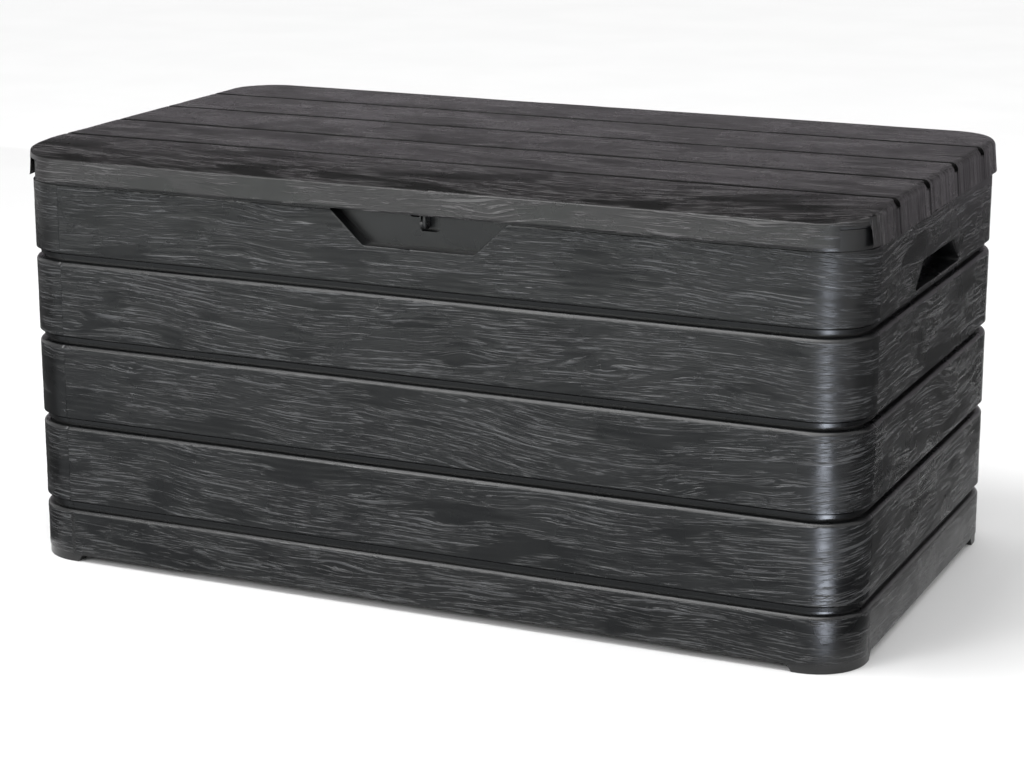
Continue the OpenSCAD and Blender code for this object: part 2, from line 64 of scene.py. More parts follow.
CORNER_R = 0.070
WALL_T = 0.0045
GROOVE_Z = (0.076, 0.196, 0.312, 0.428)  # lower edge of each groove in the walls
GROOVE_D, GROOVE_H = 0.008, 0.0125  # each groove's depth, and its height up to the crease
SLOT_D, SLOT_H = 0.012, 0.004  # the slots above the base row are deeper
STRIP_D = 0.0055  # how far the smooth strip above each slot is set back
STRIP_LEAN = (0.001, 0.0001)  # what its lower and upper ends add to that
CREASE_D, CREASE_H = 0.0085, 0.0028  # the shadow line between strip and plank
EDGE_R = 0.0065  # each plank's top edge
SOFT = 0.0003  # the chamfer on a strip's ends, above a crease and under the skirt
REBATE_SOFT = 0.0005  # the chamfer under the rebate
RIM_IN, RIM_T = 0.016, 0.004
REBATE_Z, REBATE_D = 0.5335, 0.0025  # the wall is set back behind the lid's skirt
SEAM_GAP = 0.0004  # each panel end's small step at the seams

STRAIGHT = (2 * (HALF_W - CORNER_R), BACK_Y - FRONT_Y - 2 * CORNER_R)
ARC = CORNER_R * math.pi / 2
SIDE_START = (
    (-HALF_W + CORNER_R, FRONT_Y),
    (HALF_W, FRONT_Y + CORNER_R),
    (HALF_W - CORNER_R, BACK_Y),
    (-HALF_W, BACK_Y - CORNER_R),
)
SIDE_NODES = ("front_panel", "right_end_panel", "back_panel", "left_end_panel")

GRAIN_DEPTH, GRAIN_REACH = 0.0005, 0.0009  # the grain's depth, and the depth that counts as face
EDGE_GRAIN = 0.002  # how far the grain runs up a plank's top edge
LONG_STEP, CROSS_STEP = 0.0055, 0.0018  # mesh pitch along and across the planks
PLANK_START = 0.0012  # a plank's flat face starts this far above its crease
TINY = 1e-4  # slack when places are compared
OVERLAP = 0.001  # solids that are joined or cut run this far past each other


# ---------------- repeatable noise and wood grain ----------------
def lattice(ix, iy, seed):
    """Numbers from -1 to 1 that depend only on whole-number places and the seed."""
    h = (ix * 374761393 + iy * 668265263 + seed * 144269504) & 0xFFFFFFFF
    h = ((h ^ (h >> 13)) * 1274126177) & 0xFFFFFFFF
    return ((h ^ (h >> 16)) & 0xFFFF) / 32767.5 - 1


def bumps(x, y, seed):
    """Smooth noise from -1 to 1, about one bump per unit."""
    x, y = np.broadcast_arrays(np.asarray(x, float), np.asarray(y, float))
    ix, iy = np.floor(x).astype(np.int64), np.floor(y).astype(np.int64)
    fx, fy = x - ix, y - iy
    fx, fy = fx * fx * (3 - 2 * fx), fy * fy * (3 - 2 * fy)
    seed = np.asarray(seed, np.int64)
    low = lattice(ix, iy, seed) * (1 - fx) + lattice(ix + 1, iy, seed) * fx
    high = lattice(ix, iy + 1, seed) * (1 - fx) + lattice(ix + 1, iy + 1, seed) * fx
    return low * (1 - fy) + high * fy


def wood(s, t, width, seed):
    """Two maps of a plank, s along it and t across it: flow, which stays level along the
    fibres, and ring, whose contours are the growth rings drawn out into arches."""
    seed = np.asarray(seed, np.int64)
    heart = width * (0.32 * bumps(s / 0.42, 0.5, seed + 1) + 0.05 * bumps(s / 0.12, 0.5, seed + 2))
    flow = t - heart + 0.0015 * bumps(s / 0.05, t / 0.02, seed + 4)
    for knot in (11, 12, 13):
        s0 = 0.6 + 0.6 * lattice(seed, knot, 5)
        t0 = 0.38 * width * lattice(seed, knot, 6)
        near = np.exp(-(((s - s0) / 0.04) ** 2) - ((t - t0) / 0.016) ** 2)
        flow = flow - 0.7 * (t - t0) * near
    depth = 0.06 * np.abs(bumps(s / 0.5, 0.5, seed + 3)) + 0.004
    return flow, np.hypot(flow, depth)


def emboss(s, flow, ring, seed):
    """How far the moulded grain sinks below the plank's face."""
    patch = np.clip(0.55 + 0.9 * bumps(s / 0.09, flow / 0.03, seed + 5), 0.1, 1)
    fibre = bumps(s / 0.035, flow / 0.0042, seed + 6)
    growth = np.sin(ring * math.tau / 0.0085)
    return GRAIN_DEPTH * patch * (0.5 + 0.35 * fibre + 0.15 * growth)


# ---------------- mesh helpers ----------------
def new_object(name, points, faces, weld=False):
    mesh = bpy.data.meshes.new(name)
    mesh.from_pydata(np.asarray(points, float).reshape(-1, 3).tolist(), [], faces)
    made = bmesh.new()
    made.from_mesh(mesh)
    if weld:
        bmesh.ops.remove_doubles(made, verts=made.verts, dist=1e-6)
    bmesh.ops.recalc_face_normals(made, faces=made.faces)
    made.to_mesh(mesh)
    made.free()
    obj = bpy.data.objects.new(name, mesh)
    bpy.context.scene.collection.objects.link(obj)
    return obj


def grid_faces(rows, columns, first=0, wrap_rows=False, wrap_columns=False):
    """Quads of a grid of points numbered row by row."""
    i = np.arange(rows if wrap_rows else rows - 1)[:, None]
    j = np.arange(columns if wrap_columns else columns - 1)[None, :]
    i2, j2 = (i + 1) % rows, (j + 1) % columns
    quads = np.stack(
        [i * columns + j, i * columns + j2, i2 * columns + j2, i2 * columns + j], axis=-1
    )
    return (first + quads.reshape(-1, 4)).tolist()


def loft(name, layers, closed=False):
    """A solid through rings of points: its ends are capped, or joined if closed."""
    layers = np.asarray(layers, float)
    count, ring = layers.shape[:2]
    faces = grid_faces(count, ring, wrap_rows=closed, wrap_columns=True)
    if not closed:
        faces += [list(range(ring)), [(count - 1) * ring + j for j in range(ring)]]
    return new_object(name, layers, faces)


def block(x0, x1, y0, y1, z0, z1):
    """A plain bar between two corners, for the ribs."""
    ring = [(x0, y0), (x1, y0), (x1, y1), (x0, y1)]
    return loft("block", [[(x, y, z) for x, y in ring] for z in (z0, z1)])


def combine(piece, *others, operation="DIFFERENCE"):
    """Cuts the other solids from piece, or joins them on with UNION, and removes them."""
    for other in others:
        modifier = piece.modifiers.new("combine", "BOOLEAN")
        modifier.solver = "MANIFOLD"
        modifier.operation = operation
        modifier.object = other
        graph = bpy.context.evaluated_depsgraph_get()
        mesh = bpy.data.meshes.new_from_object(piece.evaluated_get(graph))
        piece.modifiers.clear()
        old, piece.data = piece.data, mesh
        bpy.data.meshes.remove(old)
        bpy.data.objects.remove(other)
    return piece


def rounded(corners, radius, count=5):
    """A closed outline with each corner turned into a curve of about that radius."""
    corners = np.asarray(corners, float)
    radii = np.broadcast_to(radius, len(corners))
    points = []
    for i, (corner, r) in enumerate(zip(corners, radii, strict=True)):
        before, after = corners[i - 1] - corner, corners[(i + 1) % len(corners)] - corner
        before, after = before / np.linalg.norm(before), after / np.linalg.norm(after)
        half = math.acos(np.clip(before @ after, -1, 1)) / 2
        reach = r / math.tan(half)
        for f in np.linspace(0, 1, count):
            points.append(corner + before * reach * (1 - f) ** 2 + after * reach * f**2)
    return np.array(points)


def grown(outline, by):
    """The outline, which runs anticlockwise, moved outwards."""
    ahead = np.roll(outline, -1, axis=0) - np.roll(outline, 1, axis=0)
    ahead /= np.linalg.norm(ahead, axis=1)[:, None]
    return outline + by * np.stack([ahead[:, 1], -ahead[:, 0]], axis=1)


def write_attributes(obj, grain, relief):
    """grain is (along, flow, ring) for each vertex; relief, 0 to 1, is how far it shows."""
    for name, kind, values, key in (
        ("grain", "FLOAT_VECTOR", grain, "vector"),
        ("relief", "FLOAT", relief, "value"),
    ):
        attribute = obj.data.attributes.new(name, kind, "POINT")
        attribute.data.foreach_set(key, np.asarray(values, np.float32).ravel())


def vertices(obj):
    """The mesh's points, one row each."""
    co = np.empty(len(obj.data.vertices) * 3, np.float32)
    obj.data.vertices.foreach_get("co", co)
    return co.reshape(-1, 3).astype(float)


def finish_piece(obj, body, slot, material, *nodes):
    """Smooths the mesh, sets what it rides on and its material, and hides the CAD parts it stands for.
    """
    obj.data.polygons.foreach_set("use_smooth", np.ones(len(obj.data.polygons), bool))
    obj.data.set_sharp_from_angle(angle=math.radians(32))
    obj.data.materials.clear()
    obj.data.materials.append(material)
    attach(obj, body)
    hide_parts(*nodes)


# ---------------- places round the walls ----------------
def place(side, s, u, z):
    """Points s along a side's outer face, u inside it and z up. A side is its straight
    wall, then the corner at its right-hand end."""
    s, u, z = np.broadcast_arrays(*(np.asarray(v, float) for v in (s, u, z)))
    length = STRAIGHT[side % 2]
    turn = np.clip((s - length) / CORNER_R, 0, math.pi / 2)
    x = np.minimum(s, length) + (CORNER_R - u) * np.sin(turn)
    y = CORNER_R - (CORNER_R - u) * np.cos(turn) + np.maximum(s - length - ARC, 0)
    return to_world(side, x, y, z)


def to_world(side, x, y, z):
    """A side's own frame, x along it and y inwards, turned into the box's."""
    a = side * math.pi / 2
    x0, y0 = SIDE_START[side]
    return np.stack(
        [x0 + x * math.cos(a) - y * math.sin(a), y0 + x * math.sin(a) + y * math.cos(a), z],
        axis=-1,
    )


def along_and_in(side, co):
    """The s and u of points near a side."""
    a = side * math.pi / 2
    dx, dy = co[:, 0] - SIDE_START[side][0], co[:, 1] - SIDE_START[side][1]
    x, y = dx * math.cos(a) + dy * math.sin(a), -dx * math.sin(a) + dy * math.cos(a)
    length = STRAIGHT[side % 2]
    turn = np.arctan2(np.maximum(x - length, 0), CORNER_R - y)
    on_corner = x > length
    s = np.where(on_corner, length + CORNER_R * turn, x)
    u = np.where(on_corner, CORNER_R - np.hypot(x - length, CORNER_R - y), y)
    return s, u


def steps(start, stop, pitch):
    """Even places from start to stop, about a pitch apart."""
    return np.linspace(start, stop, max(2, round(abs(stop - start) / pitch) + 1))


def top_edge(z, count=8):
    """The rounded top edge of a plank that ends at z, as [inward, up]."""
    a = np.linspace(0, math.pi / 2, count)
    return np.stack([EDGE_R * (1 - np.cos(a)), z - EDGE_R + EDGE_R * np.sin(a)], axis=1)


def plank_face(low, high):
    """A plank's flat face as [inward, up], in steps that can take the grain."""
    z = steps(low, high, CROSS_STEP)
    return np.stack([np.zeros_like(z), z], axis=1)


def wall_face():
    """The planked outer face of a wall, from its lowest groove to the rim."""
    parts = []
    for i, z in enumerate(GROOVE_Z):
        crease = z + GROOVE_H
        if i:
            parts.append(top_edge(z))
        slot, slot_top = SLOT_D if i else GROOVE_D, z + SLOT_H
        strip_low, strip_high = STRIP_D + STRIP_LEAN[0], STRIP_D + STRIP_LEAN[1]
        strip_top = crease - CREASE_H
        parts += [
            [[slot, z], [slot, slot_top], [strip_low + SOFT, slot_top]],
            [[strip_low, slot_top + SOFT], [strip_high, strip_top - SOFT]],
            [[strip_high + SOFT, strip_top], [CREASE_D, strip_top], [CREASE_D, crease]],
            [[SOFT, crease], [0, crease + SOFT]],
        ]
        top_plank = z == GROOVE_Z[-1]
        high = REBATE_Z - REBATE_SOFT if top_plank else GROOVE_Z[i + 1] - EDGE_R
        parts.append(plank_face(crease + PLANK_START, high)[: None if top_plank else -1])
    parts.append([[REBATE_SOFT, REBATE_Z], [REBATE_D, REBATE_Z], [REBATE_D, RIM_Z]])
    return np.concatenate(parts)


def plank_row(z):
    """Which plank of the walls a height belongs to, 0 for the base row, with its middle
    and its width."""
    edges = np.array([0.012, *GROOVE_Z, RIM_Z])
    row = np.clip(np.searchsorted(edges, z) - 1, 0, 4)
    return row, (edges[row] + edges[row + 1]) / 2, edges[row + 1] - edges[row]


def wall_grain(side, s, z):
    """Each point's wood maps and its plank's seed on a wall."""
    row, middle, width = plank_row(z)
    seed = 100 * side + 17 * row + 3
    return *wood(s, z - middle, width, seed), seed


def grain_vectors(s, flow, ring, seed):
    """What the material reads: each seed is given its own stretch of the noise."""
    return np.stack(np.broadcast_arrays(s + 1.37 * seed, flow, ring), axis=-1)


def sink(side, section, face, stations):
    """The section at each station, with the grain sunk into its plank faces."""
    s, z = stations[:, None], section[None, :, 1]
    on_face = (np.arange(len(section)) < face) & (section[:, 0] < 1e-6)
    depth = emboss(s, *wall_grain(side, s, z)) * on_face[None, :]
    return section[None, :, 0] + depth


def mark_wall(obj, side):
    """Writes the grain attributes of a wall from where its vertices are."""
    co = vertices(obj)
    s, u = along_and_in(side, co)
    row, _, _ = plank_row(co[:, 2])
    crease = np.array([0.0, *GROOVE_Z])[row] + GROOVE_H
    top = np.array([*GROOVE_Z, 1.0])[row] - EDGE_R
    on_face = u < GRAIN_REACH
    relief = on_face & (co[:, 2] > crease + PLANK_START / 2) & (co[:, 2] < top + EDGE_GRAIN)
    write_attributes(obj, grain_vectors(s, *wall_grain(side, s, co[:, 2])), relief)


# ---------------- the wall panels ----------------
SEAM_TAB_IN, SEAM_TAB_T, SEAM_TAB_L = WALL_T + 0.0002, 0.003, 0.024
SEAM_TAB_HOLD, SEAM_TAB_ROOT = 0.010, 0.0015  # its overlap with its own panel, along and inwards
SEAM_TAB_GAPS = (0.020, 0.014)  # below and above each tab, within its plank


def seam_tab(side, low, high):
    """A flat tab at the end of a panel's corner, which lies behind the next panel."""
    end = STRAIGHT[side % 2] + ARC
    rooted = WALL_T - SEAM_TAB_ROOT
    outer = SEAM_TAB_IN + SEAM_TAB_T
    z = np.array([low, low, high, high])
    layers = []
    for s, inner in (
        (-SEAM_TAB_HOLD, rooted),
        (-0.0005, rooted),
        (-0.0004, SEAM_TAB_IN),
        (SEAM_TAB_L, SEAM_TAB_IN),
    ):
        layers.append(place(side, end + s, np.array([inner, outer, outer, inner]), z))
    return loft("tab", layers)


def wall_panel(side):
    """A straight wall and its corner, swept from the planked section."""
    end = STRAIGHT[side % 2] + ARC
    inner = [[RIM_IN, RIM_Z], [RIM_IN, RIM_Z - RIM_T], [WALL_T, RIM_Z - RIM_T]]
    for i in (3, 2, 1, 0):
        z, behind = GROOVE_Z[i], WALL_T + (SLOT_D if i else GROOVE_D)
        rise = z + GROOVE_H + WALL_T
        inner += [[WALL_T, rise], [behind, rise]]
        inner += [[behind, z - WALL_T], [WALL_T, z - WALL_T]] if i else [[behind, z]]
    outer = wall_face()
    section = np.concatenate([outer, inner])
    stations = np.concatenate(
        [[0, 0.0006], steps(0.004, end - 0.004, LONG_STEP), [end - 0.0006, end]]
    )
    u = sink(side, section, len(outer), stations)
    on_outside = (np.arange(len(section)) < len(outer))[None, :]
    at_end = np.isin(stations, (0, end))[:, None]
    u = u + SEAM_GAP * (on_outside & at_end)
    name = SIDE_NODES[side].replace("_panel", "_wall")
    panel = loft(name, place(side, stations[:, None], u, section[None, :, 1]))
    below, above = SEAM_TAB_GAPS
    tops = (*GROOVE_Z[1:], RIM_Z)
    tabs = [
        seam_tab(side, z + below, top - above) for z, top in zip(GROOVE_Z, tops, strict=True)
    ]
    return combine(panel, *tabs, operation="UNION")


def recess(side, outline, depths):
    """A prism through an outline of [along, up] points: depths are (inward, growth)."""
    return loft("recess", [place_flat(side, grown(outline, grow), u) for u, grow in depths])


def place_flat(side, outline, u):
    """Outline points on a side's straight wall at one depth."""
    return to_world(side, outline[:, 0], np.full(len(outline), u), outline[:, 1])


MOUTH = ((-0.002, 0.0012), (0.0, 0.0012), (0.0004, 0.0005), (0.0012, 0.0))
HOUSING_T = 0.0035

# the finger pocket of the front wall
POCKET_X, POCKET_Z, POCKET_TOP = 0.0115, 0.4905, 0.548
POCKET_HALF, POCKET_HALF_TOP, POCKET_D = 0.0785, 0.1395, 0.020
WINDOW = (-0.0043, 0.0215, 0.512, 0.545)  # padlock window: left, right, bottom, top
SLOT = (-0.0187, -0.0064, 0.5295, 0.545)
WINDOW_D = 0.030
LUG_WAY = (-0.0001, 0.0054)
# the hand recess of each end wall
HAND_Z, HAND_TOP, HAND_HALF, HAND_HALF_TOP, HAND_D = 0.4445, 0.4785, 0.1077, 0.0705, 0.030


def rectangle(left, right, low, high):
    return np.array([[left, low], [right, low], [right, high], [left, high]])


def front_wall():
    panel = wall_panel(0)
    centre = np.array([POCKET_X - SIDE_START[0][0], 0.0])
    outline = centre + rounded(
        [
            (-POCKET_HALF, POCKET_Z),
            (POCKET_HALF, POCKET_Z),
            (POCKET_HALF_TOP, POCKET_TOP),
            (-POCKET_HALF_TOP, POCKET_TOP),
        ],
        (0.009, 0.009, 0.0005, 0.0005),
        7,
    )
    around = centre + rectangle(SLOT[0] - 0.003, WINDOW[1] + 0.003, WINDOW[2] - 0.003, 0.548)
    housing = [
        recess(0, outline, ((OVERLAP, HOUSING_T), (POCKET_D + HOUSING_T, HOUSING_T))),
        recess(0, around, ((POCKET_D, 0.0), (WINDOW_D + 0.003, 0.0))),
    ]
    combine(panel, *housing, operation="UNION")
    back = (
        (POCKET_D - OVERLAP, 0.0004),
        (POCKET_D + 0.0001, 0.0004),
        (POCKET_D + 0.0006, 0.0),
        (WINDOW_D, 0.0),
    )
    window = centre + rounded(rectangle(*WINDOW), (0.003, 0.005, 0.0005, 0.0005))
    slot = centre + rounded(rectangle(*SLOT), (0.002, 0.002, 0.0005, 0.0005))
    way = centre + rectangle(*LUG_WAY, 0.530, RIM_Z + OVERLAP)
    return combine(
        panel,
        recess(0, outline, (*MOUTH, (POCKET_D, 0.0))),
        recess(0, window, back),
        recess(0, slot, back),
        recess(0, way, ((0.011, 0.0), (WINDOW_D + 0.0015, 0.0))),
    )


def end_wall(side):
    panel = wall_panel(side)
    centre = np.array([STRAIGHT[1] / 2, 0.0])
    outline = centre + rounded(
        [
            (-HAND_HALF, HAND_Z),
            (HAND_HALF, HAND_Z),
            (HAND_HALF_TOP, HAND_TOP),
            (-HAND_HALF_TOP, HAND_TOP),
        ],
        0.003,
    )
    combine(
        panel,
        recess(side, outline, ((OVERLAP, HOUSING_T), (HAND_D + HOUSING_T, HOUSING_T))),
        operation="UNION",
    )
    return combine(panel, recess(side, outline, (*MOUTH, (HAND_D, 0.0))))


# ---------------- the base ----------------
SKIRT_Z, FLOOR_Z, FLOOR_T = 0.012, 0.030, 0.004
UPSTAND_IN, UPSTAND_T, UPSTAND_H = GROOVE_D + WALL_T + 0.0002, 0.004, 0.016
FOOT_IN, FOOT_RUN = 0.022, 0.014
SKID_L, SKID_H = 0.180, 0.002
RIB_Z, RIB_T, PAD_X, PAD_R = 0.018, 0.004, 0.200, 0.024


def base():
    """The tray's skirt swept all the way round, with its floor, ribs, pads and feet."""
    outer = np.concatenate(
        [
            [[0.001, SKIRT_Z], [SOFT, SKIRT_Z + SOFT]],
            plank_face(SKIRT_Z + 0.001, GROOVE_Z[0] - EDGE_R)[:-1],
            top_edge(GROOVE_Z[0]),
        ]
    )
    inside = UPSTAND_IN + UPSTAND_T
    inner = [
        [UPSTAND_IN, GROOVE_Z[0]],
        [UPSTAND_IN, GROOVE_Z[0] + UPSTAND_H],
        [inside, GROOVE_Z[0] + UPSTAND_H],
        [inside, FLOOR_Z - FLOOR_T],
        [UPSTAND_IN, FLOOR_Z - FLOOR_T],
        [UPSTAND_IN, GROOVE_Z[0] - WALL_T],
        [EDGE_R, GROOVE_Z[0] - WALL_T],
        [WALL_T, GROOVE_Z[0] - 2 * WALL_T],
        [WALL_T, SKIRT_Z],
    ]
    section = np.concatenate([outer, inner])
    layers = []
    for side in range(4):
        stations = steps(0, STRAIGHT[side % 2] + ARC, LONG_STEP)[:-1]
        u = sink(side, section, len(outer), stations)
        layers.append(place(side, stations[:, None], u, section[None, :, 1]))
    tray = loft("base", np.concatenate(layers), closed=True)

    inset = UPSTAND_IN + OVERLAP
    x1, y0, y1 = HALF_W - inset, FRONT_Y + inset, BACK_Y - inset
    plan = rounded([(-x1, y0), (x1, y0), (x1, y1), (-x1, y1)], CORNER_R - inset, 12)
    parts = [loft("floor", [[(x, y, z) for x, y in plan] for z in (FLOOR_Z - FLOOR_T, FLOOR_Z)])]
    rib_top = FLOOR_Z - FLOOR_T + OVERLAP
    depth = BACK_Y - FRONT_Y
    for k in (-1, 0, 1):
        y = MID_Y + k * depth / 4
        parts.append(block(-x1, x1, y - RIB_T / 2, y + RIB_T / 2, RIB_Z, rib_top))
    for k in range(-2, 3):
        x = k * PAD_X
        parts.append(block(x - RIB_T / 2, x + RIB_T / 2, y0, y1, RIB_Z, rib_top))
    for sx in (-1, 1):
        for sy in (-1, 1):
            parts.append(pad(sx * PAD_X, MID_Y + sy * depth / 4))
    for side in range(4):
        parts.append(foot(side))
        if side % 2 == 0:
            for start in (0, STRAIGHT[0] - SKID_L):
                parts.append(skid(side, start))
    return combine(tray, *parts, operation="UNION")


def pad(x, y):
    """A round pad under the floor, down to the ground."""
    a = np.linspace(0, math.tau, 40, endpoint=False)
    layers = [
        np.stack([x + r * np.cos(a), y + r * np.sin(a), np.full_like(a, z)], axis=1)
        for r, z in ((PAD_R - 0.002, 0), (PAD_R, 0.002), (PAD_R, FLOOR_Z - OVERLAP))
    ]
    return loft("pad", layers)


def foot(side):
    """A corner foot: it follows the corner and slopes up at both ends."""
    length = STRAIGHT[side % 2]
    end, slope = length + ARC, 0.006
    stations = np.concatenate(
        [
            [length - FOOT_RUN, length - FOOT_RUN + slope],
            steps(length, end, 0.005),
            [end + FOOT_RUN - slope, end + FOOT_RUN],
        ]
    )
    low = np.zeros(len(stations))
    low[[0, -1]] = 0.009
    top = np.full_like(low, SKIRT_Z + 0.005)
    u = np.array([0.0015, 0.001, 0.001, FOOT_IN, FOOT_IN, FOOT_IN - 0.001])
    z = np.stack([low, low + 0.0006, top, top, low + 0.0006, low], axis=1)
    return loft("foot", place(side, stations[:, None], u[None, :], z))


def skid(side, start):
    """The skirt's lower strip beside a foot."""
    u = np.array([0.0008, 0.0008, WALL_T - 0.0003, WALL_T - 0.0003])
    z = np.array([SKIRT_Z - SKID_H, SKIRT_Z + 0.001, SKIRT_Z + 0.001, SKIRT_Z - SKID_H])
    return loft("skid", [place(side, start + s, u, z) for s in (0, SKID_L)])


def mark_base(obj):
    co = vertices(obj)
    grain = np.zeros((len(co), 3))
    nearest = np.full(len(co), np.inf)
    for side in range(4):
        s, u = along_and_in(side, co)
        own = (s > -TINY) & (s < STRAIGHT[side % 2] + ARC + TINY) & (u < nearest)
        grain[own] = grain_vectors(s, *wall_grain(side, s, co[:, 2]))[own]
        nearest[own] = u[own]
    relief = (np.abs(nearest) < GRAIN_REACH) & (co[:, 2] < GROOVE_Z[0] - EDGE_R + EDGE_GRAIN)
    write_attributes(obj, grain, relief)


# ---------------- the lid ----------------
OVERHANG = LID_HIGH.x - HALF_W
LID_R = CORNER_R + OVERHANG
LID_ROUND, LID_DRAFT, LID_T = 0.010, 0.1, 0.003
PLANK_D = (LID_HIGH.y - LID_LOW.y) / 5
LID_GROOVES = tuple(LID_LOW.y + i * PLANK_D + 0.002 for i in range(1, 5))
LID_GROOVE_W, LID_GROOVE_D = 0.005, 0.008
PLANK_REAR_R, PLANK_FRONT_R = 0.005, 0.0004  # the rounded edges on a groove's two sides
FRONT_DROP = 0.013
LID_FRONT_R, LID_EDGE_BAND = 0.002, 0.0045  # its front edge, and the band of the mesh it takes
END_GRAIN = 0.012  # the skirt's grain turns upright this near the ends
TOP_SEED, TOP_SEED_STEP = 900, 31  # the planks on top, from the front
FRONT_SEED, BACK_SEED, END_SEED, FLUTE_SEED = 1500, 1600, 1700, 1701  # the skirt
GRAIN_SHIFT_X, END_SHIFT_Y, END_SHIFT_Z = 0.6, 0.4, 0.05  # where the maps are read from
SKIRT_BAND = 0.045  # plank width that the skirt's level grain is drawn for
FLUTE_D, FLUTE_L, FLUTE_W = 0.0009, 0.15, 0.0045  # flutes of the upright grain
FLUTE_ONSET = 0.005  # they reach their full depth over this length
CROWN_END = LID_GROOVES[0] - LID_GROOVE_W / 2


def rounding_inset(z):
    """How far the lid's drafted and rounded side stands in from the skirt's foot."""
    straight_top = LID_HIGH.z - LID_ROUND
    up = np.clip((z - straight_top) / LID_ROUND, 0, 1)
    drafted = LID_DRAFT * (np.minimum(z, straight_top) - LID_LOW.z)
    return drafted + LID_ROUND * (1 - np.sqrt(1 - up**2))


def lid_levels():
    """(inset, z) up the lid's side, closer together at the front edge's height."""
    z = np.concatenate(
        [
            LID_LOW.z + np.array([0.0004, 0.0012]),
            steps(LID_LOW.z + 0.004, 0.565, 0.003),
            steps(0.566, 0.5705, 0.0005),
            LID_HIGH.z - LID_ROUND + LID_ROUND * np.sin(np.linspace(0, math.pi / 2, 10)),
        ]
    )
    inset = rounding_inset(z)
    inset[0] += 0.0004
    return np.concatenate([[0.0012], inset]), np.concatenate([[LID_LOW.z], z])


def crown(y):
    """Height of the lid's top, which curves down over the front plank."""
    fall = np.clip((CROWN_END - y) / (CROWN_END - LID_LOW.y), 0, 1)
    return LID_HIGH.z - FRONT_DROP * fall**2


def lid_inset(x, y):
    """Distance of a point in plan from the lid's outline, inwards."""
    half_d = (LID_HIGH.y - LID_LOW.y) / 2
    qx = np.abs(x) - (LID_HIGH.x - LID_R)
    qy = np.abs(y - MID_Y) - (half_d - LID_R)
    outside = np.hypot(np.maximum(qx, 0), np.maximum(qy, 0))
    return LID_R - outside - np.minimum(np.maximum(qx, qy), 0)


def lid_plank(y):
    """Which plank of the lid y lies on, with its middle."""
    edges = np.array([LID_LOW.y, *LID_GROOVES, LID_HIGH.y])
    row = np.clip(np.searchsorted(edges, y) - 1, 0, 4)
    return row, (edges[row] + edges[row + 1]) / 2


def lid_grain(co):
    """(along, flow, ring, seed) on the lid: the planks run along X, and the grain of the
    end skirts stands upright."""
    x, y, z = co.T
    row, middle = lid_plank(y)
    top_seed = TOP_SEED + TOP_SEED_STEP * row
    top = wood(x + GRAIN_SHIFT_X, y - middle, PLANK_D, top_seed)
    inset = lid_inset(x, y)
    side = inset < rounding_inset(np.minimum(z, LID_HIGH.z - 0.004)) + 0.0022
    at_end = side & (np.abs(x) > LID_HIGH.x - END_GRAIN)
    skirt = side & ~at_end
    middle_z = (LID_LOW.z + LID_HIGH.z) / 2
    along = np.where(at_end, z + END_SHIFT_Z, x + GRAIN_SHIFT_X)
    skirt_seed = np.where(y < MID_Y, FRONT_SEED, BACK_SEED)
    band = wood(x + GRAIN_SHIFT_X, z - middle_z, SKIRT_BAND, skirt_seed)
    flow, ring = (
        np.where(at_end, y + END_SHIFT_Y, np.where(skirt, on_skirt, on_top))
        for on_top, on_skirt in zip(top, band, strict=True)
    )
    seed = np.where(at_end, END_SEED, np.where(skirt, skirt_seed, top_seed))
    return along, flow, ring, seed


def lid():
    insets, levels = lid_levels()
    across = np.linspace(-1, 1, 181)
    turn = np.linspace(0, 1, 31)
    half_x = LID_HIGH.x - LID_R
    half_y = (LID_HIGH.y - LID_LOW.y) / 2 - LID_R
    before = LID_GROOVE_W / 2 + PLANK_REAR_R * np.array([1.6, 1, 0.7, 0.4, 0.15, 0])
    after = LID_GROOVE_W / 2 + PLANK_FRONT_R * np.array([0, 0.4, 1, 4])
    marks = np.concatenate([[*(g - before), g, *(g + after)] for g in LID_GROOVES]) - MID_Y
    even = steps(-half_y, half_y, CROSS_STEP * 1.3)
    even = even[np.min(np.abs(even[:, None] - marks[None, :]), axis=1) > 0.0012]
    upright = np.unique(np.concatenate([even, marks[np.abs(marks) < half_y], [-half_y, half_y]]))

    def outline(inset, z):
        """Points all round the lid at one inset."""
        r = LID_R - inset
        a = turn[1:-1] * math.pi / 2
        right = np.stack([np.full_like(upright, half_x + r), upright], axis=1)
        corner = np.stack([half_x + r * np.sin(a), -half_y - r * np.cos(a)], axis=1)
        front = np.stack([across * half_x, np.full_like(across, -half_y - r)], axis=1)
        quarter = np.concatenate([front, corner, right])
        back_corner = corner[::-1] * [1, -1]
        half = np.concatenate([quarter, back_corner])
        back = front[::-1] * [1, -1]
        left = np.concatenate([corner * [-1, -1], right[::-1] * [-1, 1], back_corner * [-1, -1]])
        ring = np.concatenate([half, back, left])
        return np.concatenate([ring + [0, MID_Y], np.full((len(ring), 1), z)], axis=1)

    side = np.array([outline(i, z) for i, z in zip(insets, levels, strict=True)])
    r = LID_R - insets[-1]
    a = turn[:-1] * math.pi / 2
    round_x, round_y = half_x + r * np.sin(a), half_y + r * np.cos(a)
    rows_y = np.concatenate([-round_y, upright, round_y[::-1]])
    rows_x = np.concatenate([round_x, np.full_like(upright, half_x + r), round_x[::-1]])
    top = np.stack(
        np.broadcast_arrays(rows_x[:, None] * across[None, :], rows_y[:, None] + MID_Y, levels[-1]),
        axis=-1,
    )
    ring_n = side.shape[1]
    faces = grid_faces(side.shape[0], ring_n, wrap_columns=True)
    faces += grid_faces(top.shape[0], top.shape[1], first=side.shape[0] * ring_n)
    faces.append(list(range(ring_n)))
    points = np.concatenate([side.reshape(-1, 3), top.reshape(-1, 3)])
    shell = new_object("lid", points, faces, weld=True)
    shape_lid(shell, insets[-1])
    cutters = [lid_groove(y) for y in LID_GROOVES] + [lid_cavity()]
    return combine(shell, *cutters)


